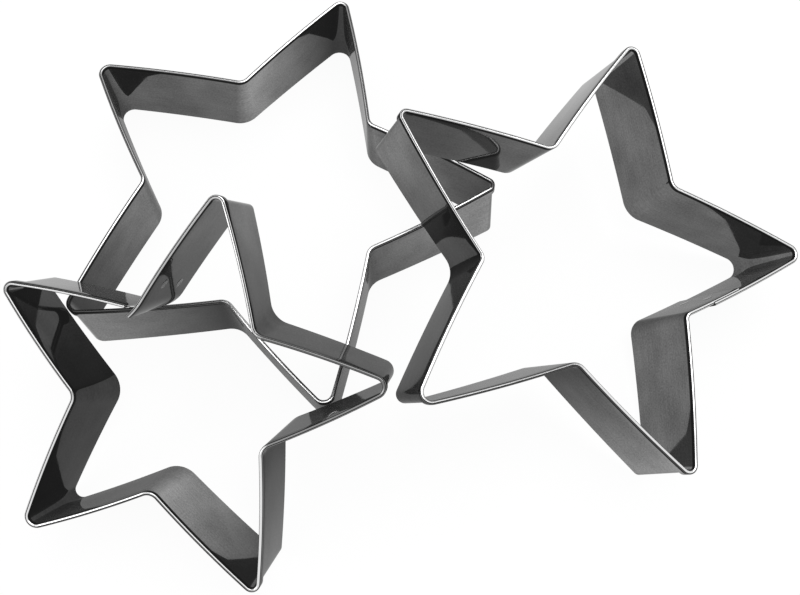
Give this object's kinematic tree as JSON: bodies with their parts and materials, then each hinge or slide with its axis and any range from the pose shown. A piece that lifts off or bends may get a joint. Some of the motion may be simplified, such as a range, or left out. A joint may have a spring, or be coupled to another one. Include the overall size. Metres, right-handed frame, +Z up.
{
  "type": "set of star cookie cutters",
  "caption": "Nesting star cookie cutters of hemmed stainless strip closed by spot welds, lying flat and leaning on each other.",
  "frame": {"origin": "on the table under the middle of the whole set's bounding box", "axes": "+Z up from the table, +X along the set's longest side towards the medium cutter, +Y away from the small cutter"},
  "size_m": [0.1768, 0.1472, 0.0553],
  "materials": {
    "steel": "bright polished stainless steel",
    "weld": "flat spot weld, slightly duller than the strip"
  },
  "bodies": {
    "large_cutter": {"large_strip": "steel", "large_weld_1": "weld", "large_weld_2": "weld"},
    "medium_cutter": {"medium_strip": "steel", "medium_weld_1": "weld", "medium_weld_2": "weld"},
    "small_cutter": {"small_strip": "steel", "small_weld_1": "weld", "small_weld_2": "weld"}
  },
  "joints": [
    {"name": "medium_lift", "type": "slide", "parent": "large_cutter", "child": "medium_cutter", "axis": [0.287, -0.0516, 0.9565], "range_m": [0, 0.06]},
    {"name": "small_lift", "type": "slide", "parent": "large_cutter", "child": "small_cutter", "axis": [0.0293, -0.4533, 0.8909], "range_m": [0, 0.06]}
  ]
}
